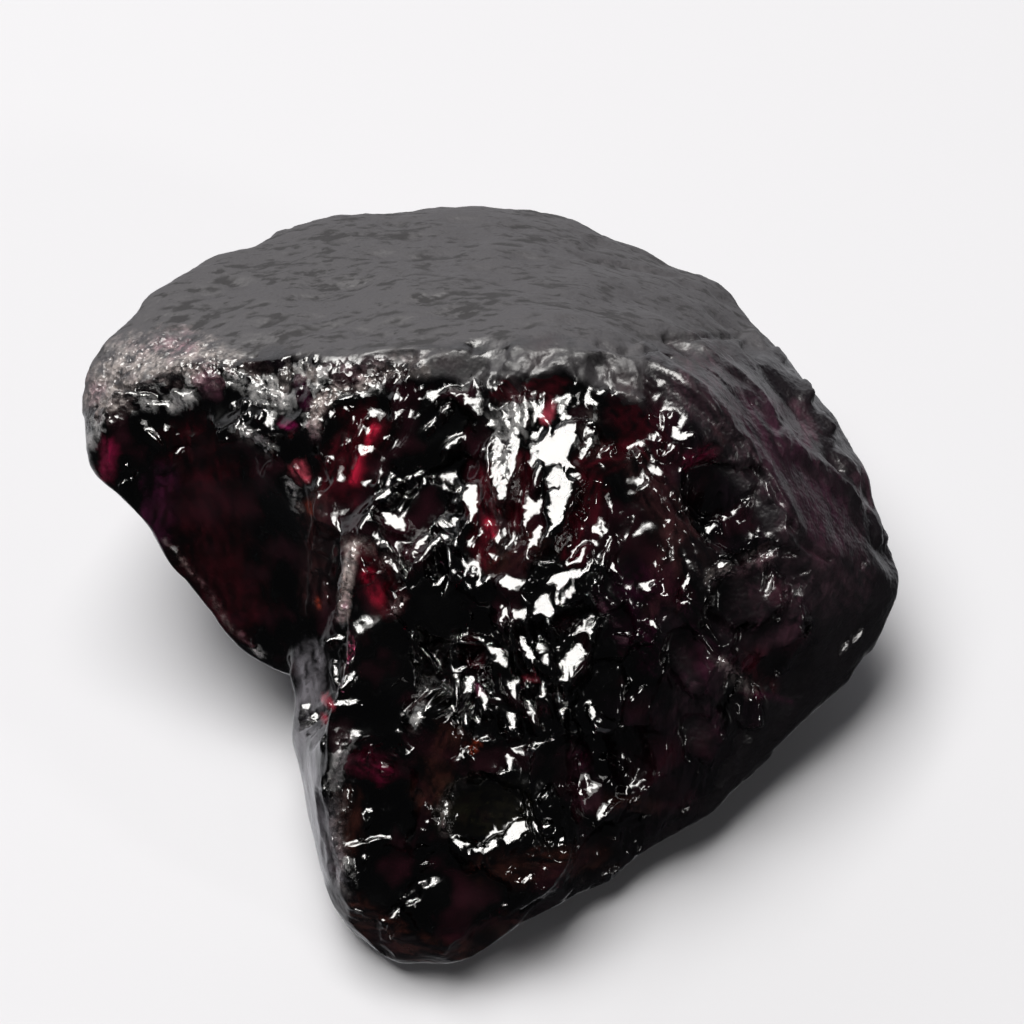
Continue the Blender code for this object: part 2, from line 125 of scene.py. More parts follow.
# Chains of facets that face the main softbox: width, then the line they follow.
BRIGHT_FACETS = [
    (9, [(514, 400), (516, 426)]), (8, [(524, 397), (526, 428)]), (8, [(534, 398), (535, 424)]),
    (7, [(543, 399), (542, 416)]), (10, [(504, 414), (509, 428)]), (17, [(514, 436), (512, 472)]),
    (16, [(493, 442), (494, 476)]), (22, [(503, 472), (503, 494)]), (30, [(556, 452), (576, 430)]),
    (12, [(587, 428), (589, 442), (579, 460)]), (34, [(562, 478), (546, 524)]),
    (20, [(534, 490), (530, 524)]), (14, [(538, 528), (530, 556)]), (9, [(538, 468), (535, 486)]),
    (9, [(573, 474), (580, 478)]), (18, [(470, 490), (468, 514)]), (8, [(461, 505), (464, 518)]),
    (12, [(380, 499), (391, 491)]), (18, [(368, 526), (378, 512)]), (18, [(400, 526), (386, 518)]),
    (14, [(376, 534), (388, 554)]), (14, [(403, 563), (402, 580)]), (10, [(407, 551), (413, 562)]),
    (11, [(388, 560), (397, 572)]), (13, [(416, 552), (425, 536)]), (6, [(430, 528), (446, 512)]),
    (6, [(450, 512), (456, 492), (464, 476)]), (11, [(492, 502), (501, 515), (503, 530), (496, 546)]),
    (9, [(490, 548), (494, 560)]), (5, [(478, 368), (474, 380)]), (5, [(462, 392), (452, 400)]),
    (6, [(448, 405), (440, 415)]), (5, [(436, 420), (425, 432)]), (10, [(446, 448), (458, 438)]),
    (6, [(420, 470), (408, 480)]), (8, [(540, 560), (560, 566)]), (13, [(583, 550), (574, 570), (565, 582)]),
    (18, [(508, 583), (524, 590)]), (16, [(531, 596), (524, 612), (516, 626)]),
    (31, [(568, 582), (550, 594)]), (21, [(544, 602), (540, 626)]), (13, [(564, 598), (574, 590)]),
    (10, [(504, 608), (500, 626)]), (10, [(497, 632), (486, 640)]),
    (18, [(587, 626), (574, 648), (560, 664)]), (22, [(572, 662), (548, 684)]),
    (10, [(548, 652), (540, 664)]), (10, [(457, 638), (454, 652), (460, 664)]),
    (10, [(478, 640), (480, 656), (472, 666)]), (13, [(465, 638), (466, 652)]),
    (18, [(460, 668), (468, 678)]), (16, [(468, 680), (466, 692)]), (10, [(455, 668), (456, 690)]),
    (10, [(460, 700), (466, 724)]), (12, [(490, 655), (502, 658)]), (12, [(496, 668), (502, 664)]),
    (18, [(511, 676), (515, 692)]), (16, [(508, 716), (511, 727)]), (12, [(540, 696), (544, 708)]),
    (13, [(517, 749), (529, 753)]), (10, [(532, 748), (543, 743)]), (9, [(508, 757), (512, 768)]),
    (6, [(480, 741), (490, 740)]), (6, [(456, 760), (460, 759)]), (7, [(530, 802), (532, 810)]),
    (5, [(534, 822), (540, 836)]), (14, [(458, 842), (472, 850)]), (15, [(474, 853), (490, 850)]),
    (20, [(494, 848), (508, 841)]), (18, [(510, 838), (519, 826)]), (7, [(464, 785), (451, 797)]),
    (8, [(446, 802), (444, 824)]), (5, [(468, 784), (488, 779)]), (5, [(494, 776), (510, 771)]),
    (11, [(652, 466), (661, 474)]), (9, [(683, 440), (691, 435)]), (5, [(665, 455), (676, 446)]),
    (5, [(664, 428), (663, 415)]), (12, [(710, 529), (723, 521)]), (12, [(726, 519), (740, 510)]),
    (8, [(741, 507), (748, 499)]), (11, [(764, 558), (774, 551)]), (5, [(775, 545), (778, 540)]),
    (7, [(714, 566), (730, 561)]), (10, [(684, 602), (691, 591)]), (6, [(684, 590), (689, 576)]),
    (6, [(663, 547), (665, 557)]), (5, [(655, 562), (657, 570)]), (7, [(766, 592), (770, 579)]),
    (5, [(780, 606), (785, 600)]), (6, [(792, 592), (796, 586)]), (5, [(802, 575), (808, 572)]),
    (8, [(707, 626), (711, 638)]), (7, [(718, 657), (727, 663)]), (6, [(752, 687), (752, 696)]),
    (8, [(650, 620), (655, 628)]), (6, [(651, 646), (657, 641)]), (5, [(646, 655), (648, 660)]),
    (7, [(843, 651), (847, 643)]), (6, [(854, 641), (861, 631)]), (5, [(863, 568), (866, 562)]),
    (5, [(590, 393), (598, 411)]), (6, [(606, 380), (612, 392)]), (6, [(604, 452), (613, 444)]),
    (6, [(640, 491), (647, 485)]), (6, [(592, 560), (588, 572)]), (8, [(604, 556), (602, 566)]),
    (5, [(612, 540), (608, 550)]), (8, [(612, 564), (616, 572)]), (6, [(584, 588), (588, 596)]),
    (7, [(224, 366), (238, 377)]), (8, [(248, 377), (264, 388)]), (6, [(266, 391), (278, 397)]),
    (6, [(240, 352), (252, 357)]), (7, [(124, 400), (142, 402)]), (6, [(118, 392), (150, 396)]),
    (9, [(176, 391), (192, 399)]), (7, [(148, 403), (172, 406)]), (6, [(148, 432), (157, 440)]),
    (7, [(245, 431), (260, 439)]), (9, [(260, 441), (270, 451)]), (6, [(176, 453), (184, 447)]),
    (5, [(122, 483), (134, 477)]), (10, [(311, 416), (317, 426)]), (7, [(318, 408), (330, 404)]),
    (7, [(338, 400), (352, 396)]), (5, [(362, 428), (358, 437)]), (6, [(404, 402), (411, 393)]),
    (6, [(395, 420), (403, 411)]), (8, [(328, 640), (346, 637)]), (10, [(334, 666), (339, 684)]),
    (10, [(344, 686), (353, 673)]), (7, [(343, 667), (344, 677)]), (9, [(338, 704), (354, 704)]),
    (5, [(324, 700), (334, 706)]), (8, [(416, 724), (419, 705), (427, 690)]), (12, [(431, 686), (442, 693)]),
    (6, [(440, 683), (445, 680)]), (10, [(394, 759), (410, 749)]), (5, [(383, 767), (384, 778)]),
    (6, [(348, 847), (367, 843)]), (5, [(369, 841), (386, 838)]), (8, [(391, 922), (397, 912)]),
    (5, [(413, 901), (419, 895)]), (5, [(348, 855), (348, 868)]), (10, [(392, 613), (403, 599)]),
    (6, [(408, 630), (420, 645), (430, 658)]), (8, [(438, 584), (443, 577)]), (10, [(414, 568), (452, 523)]),
    (22, [(588, 622), (570, 660)]), (25, [(574, 656), (548, 690)]), (16, [(540, 640), (548, 664)]),
    (16, [(494, 652), (504, 664)]), (13, [(522, 640), (530, 660)]), (12, [(480, 690), (486, 706)]),
    (13, [(560, 700), (566, 716)]), (10, [(528, 700), (534, 720)]), (10, [(590, 706), (596, 722)]),
    (20, [(500, 446), (502, 494)]), (14, [(514, 432), (513, 470)]),
]
# Flat windows that face the dim side of the room: a place, length, width and direction.
DARK_WINDOWS = [
    ((380, 682), 108, 66, 86), ((424, 512), 62, 36, 60), ((445, 612), 96, 50, -25), ((432, 440), 80, 44, 48),
    ((716, 488), 62, 50, 0), ((610, 640), 60, 34, 60), ((600, 700), 70, 44, 80), ((545, 720), 50, 30, -60),
    ((385, 880), 70, 44, 60), ((484, 812), 76, 60, 0), ((770, 625), 70, 60, 20), ((640, 560), 60, 40, 60),
    ((622, 418), 64, 46, -45), ((367, 468), 34, 22, 70), ((452, 370), 60, 34, 10), ((552, 384), 50, 34, 40),
    ((768, 520), 40, 30, 0), ((748, 600), 66, 50, 10), ((688, 660), 64, 36, -70), ((738, 700), 66, 34, -60),
    ((705, 740), 50, 34, -50), ((458, 900), 90, 50, 10),
]
# Rounded folds, and grooves where the rise is negative: rise, width and the line they follow.
FOLDS = [
    (0.32, 26, [(640, 352), (700, 392), (742, 440), (768, 500), (790, 545)]),
    (0.28, 26, [(700, 350), (756, 396), (790, 446), (846, 488), (880, 540)]),
    (0.2, 18, [(752, 334), (800, 398), (832, 440)]),
    (-0.22, 16, [(668, 338), (740, 384), (776, 430)]),
    (-0.2, 14, [(745, 345), (790, 400), (840, 470)]),
    (0.35, 20, [(860, 454), (872, 472)]),
    (0.3, 15, [(878, 480), (884, 494)]),
    (0.25, 12, [(800, 388), (806, 398)]),
    (0.25, 12, [(775, 352), (782, 362)]),
    (0.25, 14, [(820, 418), (828, 432)]),
    (0.25, 14, [(878, 500), (892, 540)]),
    (0.2, 14, [(790, 376), (806, 402)]),
    (-0.25, 14, [(760, 470), (800, 540), (830, 560)]),
    (0.35, 13, [(353, 540), (347, 580), (342, 622)]),
    (0.3, 18, [(322, 500), (318, 560), (314, 612)]),
    (-0.3, 12, [(336, 500), (334, 560), (330, 610)]),
    (0.22, 14, [(712, 578), (740, 566), (770, 554)]),
    (0.25, 10, [(722, 660), (754, 694)]),
    (-0.3, 12, [(700, 660), (716, 740)]),
    (-0.3, 12, [(660, 640), (680, 700), (690, 760)]),
    (-0.22, 10, [(600, 344), (640, 356), (670, 358)]),
    (-0.16, 8, [(668, 338), (740, 336)]),
    (-0.12, 7, [(600, 262), (680, 276)]),
    (-0.35, 8, [(116, 388), (195, 389)]),
]
# Colour painted over the stone: the red and pink rows are light that comes back from inside, painted as
# glows, and the other rows tint the stone, and some paint shade, a sheen and a reflection. Strength, hue,
# width and line.
TINTS = [
    (0.55, "crimson", 7, [(374, 428), (366, 446), (352, 482)]),
    (0.35, "garnet", 40, [(362, 430), (342, 480)]),
    (0.5, "rose", 12, [(298, 466), (306, 478)]),
    (0.5, "ember", 8, [(308, 503), (312, 510)]),
    (0.35, "crimson", 11, [(368, 574), (378, 598)]),
    (0.7, "pearl", 9, [(353, 548), (347, 580), (343, 616)]),
    (0.6, "pearl", 9, [(314, 430), (317, 410), (330, 396)]),
    (0.35, "garnet", 28, [(365, 560), (385, 600)]),
    (0.55, "rose", 8, [(551, 404), (545, 420)]),
    (0.35, "garnet", 22, [(588, 462), (624, 450)]),
    (0.22, "garnet", 34, [(628, 412), (650, 445)]),
    (0.3, "garnet", 18, [(500, 390), (560, 384)]),
    (0.6, "cherry", 14, [(690, 464), (712, 450)]),
    (0.3, "rosewood", 9, [(716, 430), (722, 442)]),
    (0.5, "crimson", 9, [(488, 522), (492, 534)]),
    (0.45, "garnet", 22, [(482, 480), (484, 556)]),
    (0.4, "garnet", 24, [(592, 488), (575, 548)]),
    (0.4, "garnet", 16, [(522, 462), (516, 522)]),
    (0.5, "ember", 5, [(319, 600), (320, 608)]),
    (0.6, "cherry", 14, [(110, 446), (106, 476)]),
    (0.45, "plum", 26, [(164, 478), (152, 530)]),
    (0.5, "mauve", 16, [(202, 368), (214, 390)]),
    (0.45, "magenta", 9, [(282, 424), (292, 428)]),
    (0.5, "plum", 9, [(306, 404), (300, 382)]),
    (0.35, "garnet", 24, [(752, 660), (762, 686)]),
    (0.5, "plum", 6, [(742, 690), (792, 702)]),
    (0.35, "mauve", 14, [(796, 406), (812, 436)]),
    (0.35, "mauve", 14, [(858, 466), (868, 504)]),
    (0.3, "rosewood", 32, [(672, 536), (664, 604)]),
    (0.35, "mauve", 20, [(578, 752), (590, 800)]),
    (0.45, "magenta", 9, [(582, 754), (584, 764)]),
    (0.5, "brown", 28, [(448, 742), (428, 792)]),
    (0.5, "ember", 5, [(472, 750), (478, 744)]),
    (0.4, "brown", 14, [(596, 800), (656, 806)]),
    (0.4, "brown", 28, [(484, 872), (604, 858)]),
    # The strong brown row along the bottom rim is a painted warm reflection.
    (0.9, "brown", 26, [(352, 912), (400, 946), (460, 958), (520, 930)]),
    # The slate row is a painted sheen that lightens the grazing strip at the left.
    (0.55, "slate", 26, [(312, 660), (306, 740), (318, 820), (330, 890)]),
    (0.3, "cherry", 22, [(364, 762), (384, 772)]),
    (0.4, "brown", 22, [(350, 800), (352, 840)]),
    (0.5, "olive", 46, [(462, 806), (506, 810)]),
    (0.5, "rose", 6, [(526, 678), (536, 680)]),
    (0.5, "rose", 7, [(326, 698), (332, 706)]),
    (0.4, "rose", 6, [(324, 716), (326, 722)]),
    (0.4, "magenta", 6, [(476, 686), (480, 694)]),
    (0.5, "rosewood", 24, [(318, 505), (318, 600)]),
    (0.5, "rosewood", 14, [(345, 545), (370, 548)]),
    (0.4, "garnet", 14, [(470, 642), (476, 660)]),
    (0.3, "rosewood", 30, [(640, 470), (700, 560)]),
    (0.4, "brown", 30, [(505, 560), (530, 540)]),
    (0.2, "garnet", 60, [(200, 460), (230, 600)]),
    # The dusk rows paint shade, in narrow strips here and over the whole right side below.
    (0.9, "dusk", 10, [(282, 345), (286, 385)]),
    (0.9, "dusk", 9, [(308, 352), (312, 372)]),
    (0.9, "dusk", 12, [(262, 356), (268, 362)]),
    (1, "dusk", 150, [(720, 400), (800, 480), (850, 620), (760, 720), (680, 780)]),
    (0.8, "dusk", 60, [(800, 380), (880, 520)]),
    (0.12, "mauve", 60, [(700, 380), (800, 480), (850, 580)]),
    (0.2, "plum", 50, [(760, 420), (830, 520)]),
    (0.12, "mauve", 70, [(800, 580), (700, 700)]),
    (0.12, "plum", 60, [(640, 600), (720, 690)]),
]
# Bruised, frosty rims: strength, width and line.
BRUISES = [
    (1, 44, [(108, 396), (132, 362), (176, 358), (204, 364)]),
    (0.6, 26, [(222, 362), (256, 380), (280, 396)]),
    (0.6, 22, [(292, 372), (324, 384)]),
    (1, 15, [(312, 430), (316, 408), (334, 388), (362, 382), (382, 372)]),
    (0.45, 22, [(330, 372), (420, 366)]),
    (0.5, 12, [(112, 400), (150, 403)]),
    (0.55, 15, [(174, 403), (187, 401)]),
    (0.4, 14, [(94, 404), (92, 440)]),
    (0.5, 6, [(165, 540), (200, 580), (230, 625), (262, 655)]),
    (0.5, 12, [(240, 432), (270, 450)]),
    (0.5, 9, [(286, 478), (302, 512)]),
    (1, 10, [(353, 544), (347, 580), (342, 618)]),
    (0.5, 14, [(340, 542), (372, 546)]),
    (0.45, 17, [(344, 742), (338, 790), (338, 850), (346, 884)]),
    (0.6, 9, [(402, 598), (390, 616)]),
    (0.6, 14, [(712, 578), (740, 566), (768, 554)]),
    (0.6, 11, [(722, 664), (752, 692)]),
    (0.3, 30, [(518, 402), (506, 432)]),
    (0.25, 28, [(503, 440), (503, 490)]),
    (0.25, 14, [(500, 500), (501, 550)]),
    (0.25, 26, [(588, 424), (592, 444)]),
    (0.5, 11, [(446, 832), (442, 812), (452, 792), (464, 782)]),
    (0.25, 16, [(380, 540), (392, 575)]),
    (0.35, 10, [(430, 682), (418, 706), (414, 730)]),
    (0.4, 8, [(596, 600), (625, 640)]),
]
# Crushed ridges: strength, width and line.
CRINKLES = [
    (1, 50, [(110, 392), (134, 356), (180, 350), (206, 356)]),
    (1, 24, [(222, 362), (256, 380), (280, 396)]),
    (0.9, 26, [(292, 372), (330, 384)]),
    (0.9, 20, [(104, 402), (190, 404)]),
    (0.8, 30, [(420, 368), (480, 372), (560, 360), (620, 380), (660, 396)]),
    (0.9, 30, [(530, 382), (575, 394)]),
    (0.7, 30, [(600, 400), (660, 420)]),
    (1, 14, [(480, 366), (455, 402), (430, 432)]),
    (1, 20, [(470, 425), (440, 450), (420, 478)]),
    (0.9, 14, [(400, 476), (376, 500)]),
    (1, 20, [(520, 400), (505, 430)]),
    (0.7, 20, [(500, 440), (502, 500), (500, 550)]),
    (0.9, 12, [(490, 540), (492, 566)]),
    (0.9, 16, [(418, 560), (440, 590), (470, 580)]),
    (0.8, 16, [(400, 600), (430, 660)]),
    (0.9, 20, [(590, 540), (600, 570), (620, 580)]),
    (0.8, 20, [(608, 480), (640, 488)]),
    (0.7, 16, [(560, 570), (580, 610)]),
    (0.9, 16, [(500, 620), (480, 660), (470, 720)]),
    (0.8, 14, [(440, 640), (436, 690)]),
    (0.8, 20, [(520, 640), (540, 700)]),
    (0.8, 12, [(500, 740), (540, 750)]),
    (0.9, 10, [(446, 830), (452, 790), (480, 780), (510, 782)]),
    (0.9, 12, [(460, 850), (500, 848), (522, 826)]),
    (0.9, 10, [(660, 410), (664, 450)]),
    (0.9, 12, [(664, 456), (692, 434)]),
    (0.8, 14, [(655, 545), (660, 575)]),
    (0.8, 10, [(684, 580), (690, 604)]),
    (0.8, 12, [(644, 612), (650, 662)]),
    (0.8, 14, [(712, 572), (772, 550)]),
    (0.8, 12, [(768, 580), (800, 580)]),
    (0.9, 12, [(840, 650), (862, 632)]),
    (0.7, 14, [(334, 636), (344, 700)]),
    (0.7, 10, [(346, 742), (340, 800), (340, 860)]),
    (0.8, 10, [(390, 920), (420, 896)]),
    (0.8, 14, [(590, 790), (620, 800), (650, 790)]),
]
# Worn, dull patches on the break: strength, width and line.
WORN_PATCHES = [
    (0.5, 30, [(722, 664), (738, 730)]),
    (0.5, 36, [(684, 690), (700, 740)]),
    (0.5, 26, [(668, 620), (690, 694)]),
    (0.5, 50, [(736, 600), (790, 600)]),
    (0.3, 50, [(820, 560), (850, 640)]),
    (0.4, 40, [(700, 560), (740, 640)]),
    (0.6, 40, [(800, 520), (830, 600)]),
    (0.7, 34, [(420, 362), (480, 366), (560, 356), (600, 372), (650, 392)]),
    (0.8, 40, [(700, 400), (740, 450), (780, 520), (800, 580)]),
    (0.55, 26, [(338, 890), (352, 916), (398, 948), (440, 962), (490, 948), (560, 905), (640, 862)]),
]


def linear(hex_colour):
    """The linear colour, with full alpha, of an sRGB hex one."""
    channels = [int(hex_colour[at : at + 2], 16) / 255 for at in (1, 3, 5)]
    return tuple(c / 12.92 if c <= 0.04045 else ((c + 0.055) / 1.055) ** 2.4 for c in channels) + (1.0,)


# Light that comes back from inside, painted as colour, the thin films on the break, and painted shade, sheen
# and reflection.
HUES = {
    "crimson": "#DC2346", "rose": "#D85468", "magenta": "#96195A", "plum": "#5A1440",
    "garnet": "#5C101E", "mauve": "#7A4C5E", "ember": "#D8502C", "rosewood": "#4A2A2C",
    "brown": "#40201A", "olive": "#1E1C10", "wine": "#34121C", "cherry": "#8C1440",
    "dusk": "#120A10", "slate": "#8A878E", "pearl": "#C8B4B0",
}


def colour_property(name, description, hex_colour):
    """A colour that the user can change."""
    return bpy.props.FloatVectorProperty(
        name=name, description=description, size=4, min=0, max=1, subtype="COLOR", default=linear(hex_colour)
    )


class PainiteStone(bpy.types.PropertyGroup):
    """How finely the stone is carved."""

    grid: bpy.props.FloatProperty(
        name="Sculpt grid",
        description="Spacing of the stone's points while it is carved",
        default=0.00012,
        min=0.0001,
        precision=6,
        subtype="DISTANCE",
        unit="LENGTH",
    )
    triangles: bpy.props.IntProperty(
        name="Triangles", description="How many triangles the finished stone has", default=196000, min=10000
    )
    bites: bpy.props.IntProperty(
        name="Bites", description="How many small scallops the broken face has", default=1100, min=0
    )
    sparkles: bpy.props.IntProperty(
        name="Sparkles", description="How many tiny facets lie along the ridges", default=700, min=0
    )
    seed: bpy.props.IntProperty(
        name="Seed", description="Another number breaks the stone another way", default=11
    )


class PainiteFinish(bpy.types.PropertyGroup):
    """The colours of the stone."""

    skin_colour: colour_property("Worn skin", "Colour of the worn skin", "#3A373A")
    frost_colour: colour_property("Bruised rims", "Colour of the crushed grains on the rims", "#B2A8A4")
    blush_colour: colour_property(
        "Blush on the rims", "Colour of the grains where red crystal shows through them", "#946E7A"
    )


class PainiteStudio(bpy.types.PropertyGroup):
    """The floor, the lights and the room."""

    floor_colour: colour_property("Floor", "Colour of the floor", "#E0E0E4")
    key_power: bpy.props.FloatProperty(
        name="Main softbox", description="Power of the main softbox", default=3.3, min=0, unit="POWER"
    )
    side_power: bpy.props.FloatProperty(
        name="Side lamp", description="Power of the small right lamp", default=0.15, min=0, unit="POWER"
    )
    room_light: bpy.props.FloatProperty(
        name="Room", description="Brightness of the bright side of the room", default=0.6, min=0
    )


def from_corner(right, down):
    """A place of the tables, as (across, up)."""
    return round(CORNER[0] + right * STEP, 2), round(CORNER[1] - down * STEP, 2)


def strokes(table):
    """A table's rows in millimetres. Each ends with a width and a line of places."""
    for *rest, width, line in table:
        yield *rest, round(width * STEP, 2), [from_corner(*place) for place in line]


def lump_point(across, up, out):
    """A place in the upright lump's own axes."""
    return Vector((across, -out, up))


def laid_down(point):
    """Where a point of the upright lump is once it lies on its base, in metres."""
    return (Matrix.Rotation(-LEAN, 3, "X") @ point - MIDDLE) * METRES


def stood_up(points):
    """The other way, for an array of points in metres."""
    turn = np.array(Matrix.Rotation(LEAN, 3, "X"))
    return (points / METRES + np.array(MIDDLE)) @ turn.T


def way_in_lump(way):
    """A direction of the solid's frame, in the upright lump."""
    return (Matrix.Rotation(LEAN, 3, "X") @ Vector(way)).normalized()


def new_object(name, data):
    """A new object at the origin, in the scene."""
    obj = bpy.data.objects.new(name, data)
    bpy.context.scene.collection.objects.link(obj)
    return obj


def apply_modifiers(obj):
    """Makes what the modifiers give the object's own mesh."""
    graph = bpy.context.evaluated_depsgraph_get()
    mesh = bpy.data.meshes.new_from_object(obj.evaluated_get(graph))
    obj.modifiers.clear()
    old = obj.data
    obj.data = mesh
    bpy.data.meshes.remove(old)


def read_vectors(mesh, what):
    """Every point's place or normal, one row each."""
    values = np.empty(len(mesh.vertices) * 3, np.float32)
    mesh.vertices.foreach_get(what, values)
    return values.reshape(-1, 3).astype(float)


def write_points(mesh, points):
    """Moves every point of the mesh."""
    mesh.vertices.foreach_set("co", points.astype(np.float32).ravel())
    mesh.update()


def lattice_noise(points, seed):
    """Smooth noise at each point, about -1 to 1, with swells one unit wide."""
    rng = np.random.default_rng(seed)
    slopes = rng.normal(size=(256, 3))
    slopes /= np.linalg.norm(slopes, axis=1)[:, None]
    shuffle = np.tile(rng.permutation(256), 2)
    cell = np.floor(points).astype(int)
    inside = points - cell
    ease = inside**3 * (inside * (inside * 6 - 15) + 10)
    total = np.zeros(len(points))
    for corner in np.ndindex(2, 2, 2):
        x, y, z = ((cell + corner) & 255).T
        slope = slopes[shuffle[shuffle[shuffle[x] + y] + z]]
        share = np.prod(np.where(corner, ease, 1 - ease), axis=1)
        total += share * np.einsum("ij,ij->i", slope, inside - corner)
    return total * 1.6


def fractal_noise(points, size, octaves=3, seed=0):
    """Layers of noise. The first has swells this wide, and each next one is half as wide and as high."""
    layers = (lattice_noise(points * 2**k / size, seed + k) / 2**k for k in range(octaves))
    return sum(layers)


def feature_axes(normal, direction):
    """Unit rows along a feature, across it and out of the stone."""
    turn = math.radians(direction)
    aim = lump_point(math.cos(turn), math.sin(turn), 0)
    along = (aim - normal * aim.dot(normal)).normalized()
    return np.array([along, normal.cross(along), normal])


def break_share(points, wobble=0.0):
    """1 on the glassy break, 0 on the worn skin, the flanks and the back."""
    across, back, up = points.T
    edge = np.interp(across, *zip(*SKIN_EDGE)) + wobble
    above = (up - edge) / SKIN_FADE + 0.5
    behind = (np.interp(across, *zip(*FLANK_EDGE)) + back) / FLANK_FADE + 0.5 + wobble
    return 1 - np.clip(np.maximum(above, behind), 0, 1)


class Lump:
    """The points of an upright stone, as the camera sees them."""

    def __init__(self, mesh):
        self.mesh = mesh
        self.points = read_vectors(mesh, "co")
        self.normals = read_vectors(mesh, "normal")
        faces = [polygon.vertices[:] for polygon in mesh.polygons]
        self.block = BVHTree.FromPolygons(self.points.tolist(), faces)
        self.eye = lump_point(*EYE)
        self.lamp = way_in_lump(LAMP_WAY)
        # Each point as (across, up, out), moved on its line of sight to where that crosses the upright plane.
        self.sight = self.points @ np.array([[1, 0, 0], [0, 0, 1], [0, -1, 0]]).T
        nearer = EYE[2] / (EYE[2] - self.sight[:, 2])
        self.sight[:, :2] = EYE[:2] + (self.sight[:, :2] - EYE[:2]) * nearer[:, None]
        self.order = np.argsort(self.sight[:, 0])
        self.sorted_across = self.sight[self.order, 0]
        self.wobble = fractal_noise(self.points, 0.8, seed=1)

    def seen(self, across, up):
        """The point and normal that the camera sees at this place, or None twice beside the stone."""
        return self.block.ray_cast(self.eye, (lump_point(across, up, 0) - self.eye).normalized())[:2]

    def between(self, low, high):
        """The points between two places across."""
        first, last = np.searchsorted(self.sorted_across, (low, high))
        return self.order[first:last]

    def along(self, line, width, spread=1.0):
        """The camera-side points near a line of places, and how far off each is: 1 at half the width."""
        reach = width / 2 * spread + 0.1
        corners = np.array(line)
        found = self.between(corners[:, 0].min() - reach, corners[:, 0].max() + reach)
        place = self.sight[found, :2]
        distance = np.full(len(found), np.inf)
        outs = [-point.y for point in (self.seen(*corner)[0] for corner in line) if point]
        if not outs:
            return found[:0], distance[:0]
        for start, end in zip(corners, corners[1:]):
            way = end - start
            share = np.clip((place - start) @ way / max(way @ way, 1e-9), 0, 1)
            gap = place - start - share[:, None] * way
            distance = np.minimum(distance, np.hypot(*gap.T))
        out = self.sight[found, 2]
        level = (out > min(outs) - LAYER) & (out < max(outs) + LAYER)
        near = (distance < reach) & level
        return found[near], distance[near] * 2 / width

    def brushed(self, table, noise, spread=1.5, full=1.5, steep=1):
        """How strongly a table's strokes lie on each point. They fade out sideways, and noise frays them."""
        share = np.zeros(len(self.points))
        for strength, width, line in strokes(table):
            found, distance = self.along(line, width, spread)
            amount = np.clip(full - steep * distance + noise[found], 0, 1) * strength
            share[found] = np.maximum(share[found], amount)
        return share

    def streaks(self, found, line, seed):
        """Noise drawn out along a line of places."""
        way = np.subtract(line[-1], line[0])
        way = way / np.hypot(*way)
        place = self.sight[found, :2]
        drawn = np.column_stack([place @ way / 1.1, place @ (way[1], -way[0]) / 0.16, np.zeros(len(found))])
        return lattice_noise(drawn, seed)


